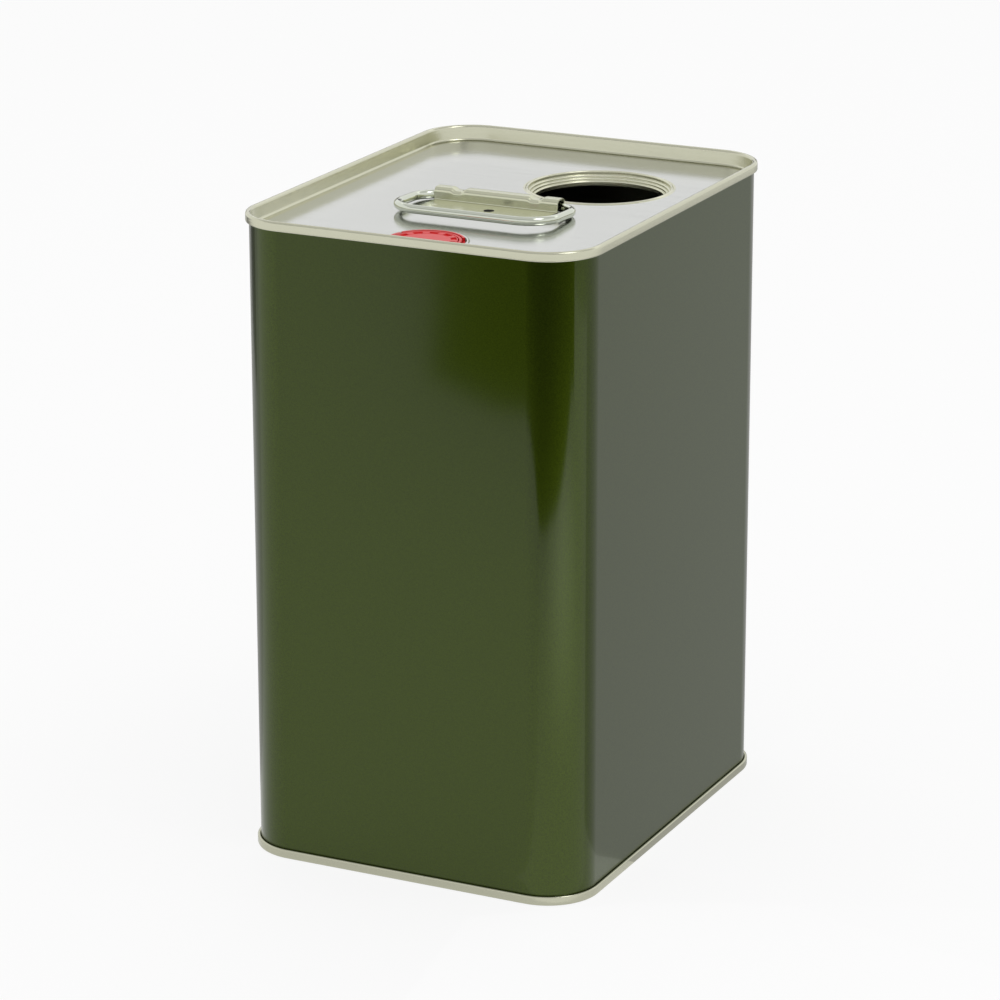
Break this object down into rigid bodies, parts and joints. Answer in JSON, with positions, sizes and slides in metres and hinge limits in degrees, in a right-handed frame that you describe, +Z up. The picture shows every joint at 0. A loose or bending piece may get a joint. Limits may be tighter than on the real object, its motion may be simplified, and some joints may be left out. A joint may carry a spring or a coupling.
{
  "type": "oil tin",
  "caption": "Rectangular oil tin with a sunk top, a stepped round fill neck, a folding wire handle and a small pull-up pourer under a ring-pull cap.",
  "frame": {"origin": "on the ground, under the middle of the tin's rims", "axes": "+X across the narrow front wall, -Y towards the pourer's end, +Z up"},
  "size_m": [0.117, 0.149, 0.205],
  "materials": {
    "lacquered_wall": "satin metallic olive lacquer on tinplate",
    "bare_tinplate": "bright satin tinplate",
    "bracket_steel": "satin tinplate, spot-welded",
    "handle_wire": "bright galvanised wire",
    "seam_compound": "matt sealing compound",
    "socket_plastic": "satin moulded plastic",
    "cap_plastic": "satin moulded plastic",
    "spout_plastic": "natural moulded plastic",
    "washer_rubber": "matt rubber",
    "liner_foam": "closed-cell foam disc"
  },
  "bodies": {
    "root": {"body_shell": "lacquered_wall", "lid_panel": "bare_tinplate", "base_panel": "bare_tinplate", "lid_seal": "seam_compound", "base_seal": "seam_compound", "handle_bracket": "bracket_steel", "bracket_welds": "bracket_steel", "pourer_socket": "socket_plastic", "pourer_gasket": "washer_rubber"},
    "handle": {"carry_handle": "handle_wire"},
    "spout": {"pourer_spout": "spout_plastic"},
    "cap": {"pourer_cap": "cap_plastic", "cap_liner": "liner_foam"},
    "ring": {"pull_ring": "cap_plastic"}
  },
  "joints": [
    {"name": "handle_hinge", "type": "hinge", "parent": "root", "child": "handle", "pos_m": [0.0015, -0.00735, 0.2015], "axis": [-1, 0, 0], "range_deg": [-2, 173]},
    {"name": "spout_slide", "type": "slide", "parent": "root", "child": "spout", "axis": [0, 0, 1], "range_m": [0, 0.01]},
    {"name": "cap_pull", "type": "slide", "parent": "spout", "child": "cap", "axis": [0, 0, 1], "range_m": [0, 0.008]},
    {"name": "ring_hinge", "type": "hinge", "parent": "cap", "child": "ring", "pos_m": [0.0115, -0.05841, 0.20015], "axis": [0, 1, 0], "range_deg": [0, 95]}
  ]
}
